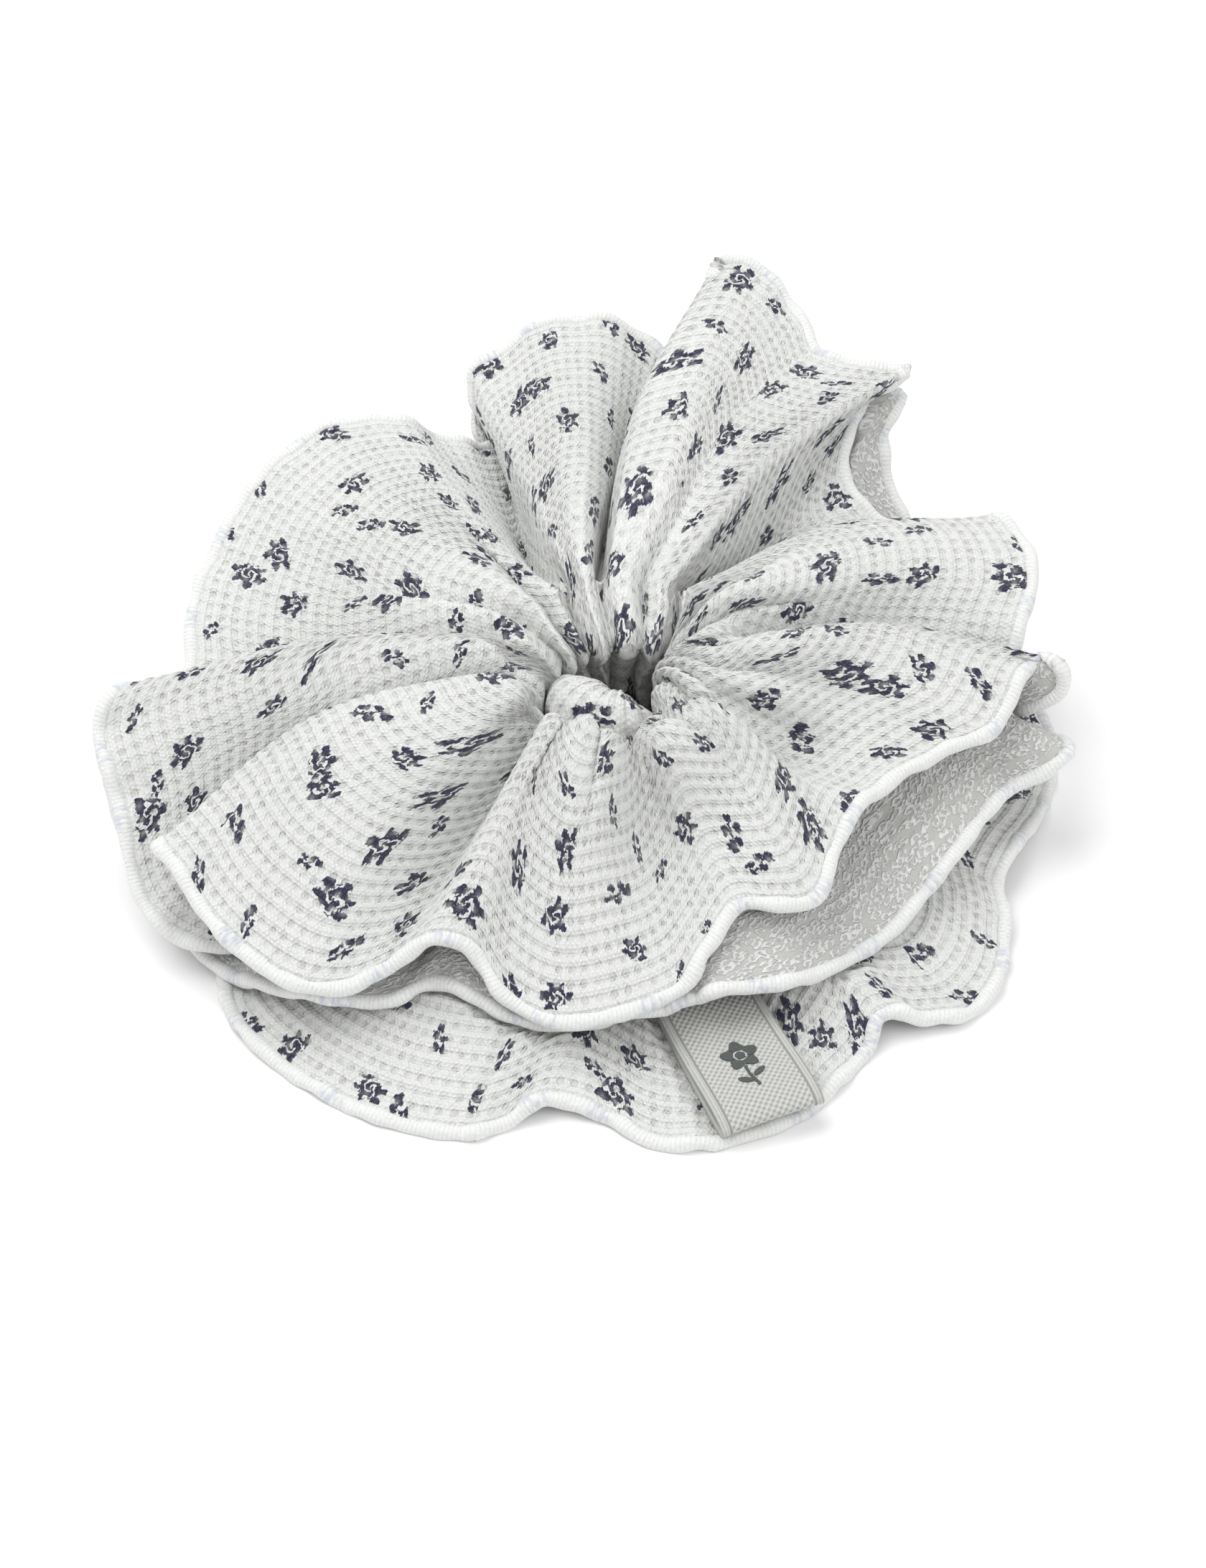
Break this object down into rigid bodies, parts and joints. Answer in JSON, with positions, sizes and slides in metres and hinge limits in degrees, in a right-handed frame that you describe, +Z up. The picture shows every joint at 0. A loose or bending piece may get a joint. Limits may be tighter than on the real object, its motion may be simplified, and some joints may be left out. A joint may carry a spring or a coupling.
{
  "type": "scrunchie",
  "caption": "Double-ruffle hair scrunchie of printed waffle knit, with rolled hems, an elastic casing that stretches and a folded woven label.",
  "frame": {"origin": "on the surface it lies on, under the middle of the hair opening, which is the middle of the ruffles' footprint", "axes": "+Z up through the hair opening, +Y the way the elastic stretches, away from the label; the label hangs towards -Y"},
  "size_m": [0.1398, 0.14, 0.0444],
  "materials": {
    "knit_print": "white waffle knit with a small navy flower print",
    "knit_wrong_side": "white waffle knit, unprinted wrong side",
    "hem_thread": "soft white thread wrapped over a rolled edge",
    "sewing_thread": "white sewing thread",
    "elastic": "white braided elastic",
    "label_tape": "white woven twill tape",
    "label_motif": "grey woven flower"
  },
  "bodies": {
    "front_half": {"inner_casing_front": "knit_print", "outer_casing_front": "knit_print", "elastic_band_front": "elastic", "upper_casing_stitch_front": "sewing_thread", "lower_casing_stitch_front": "sewing_thread", "top_ruffle_front": "knit_print", "top_hem_front": "hem_thread", "second_ruffle_front": "knit_wrong_side", "second_hem_front": "hem_thread", "third_ruffle_front": "knit_print", "third_hem_front": "hem_thread", "bottom_ruffle_front": "knit_wrong_side", "bottom_hem_front": "hem_thread", "outer_join_seam": "knit_wrong_side", "label_stitch": "sewing_thread"},
    "back_half": {"inner_casing_back": "knit_print", "outer_casing_back": "knit_print", "elastic_band_back": "elastic", "upper_casing_stitch_back": "sewing_thread", "lower_casing_stitch_back": "sewing_thread", "top_ruffle_back": "knit_print", "top_hem_back": "hem_thread", "second_ruffle_back": "knit_wrong_side", "second_hem_back": "hem_thread", "third_ruffle_back": "knit_print", "third_hem_back": "hem_thread", "bottom_ruffle_back": "knit_wrong_side", "bottom_hem_back": "hem_thread", "inner_join_seam": "knit_wrong_side", "elastic_join_stitch": "sewing_thread"},
    "label": {"woven_label": "label_tape", "label_motif": "label_motif"}
  },
  "joints": [
    {"name": "stretch", "type": "slide", "parent": "front_half", "child": "back_half", "axis": [0, 1, 0], "range_m": [0, 0.06], "stiffness_N_per_m": 100},
    {"name": "label_lift", "type": "hinge", "parent": "front_half", "child": "label", "pos_m": [0.00342, -0.01491, 0.01605], "axis": [-0.9744, -0.225, 0], "range_deg": [0, 3]}
  ]
}
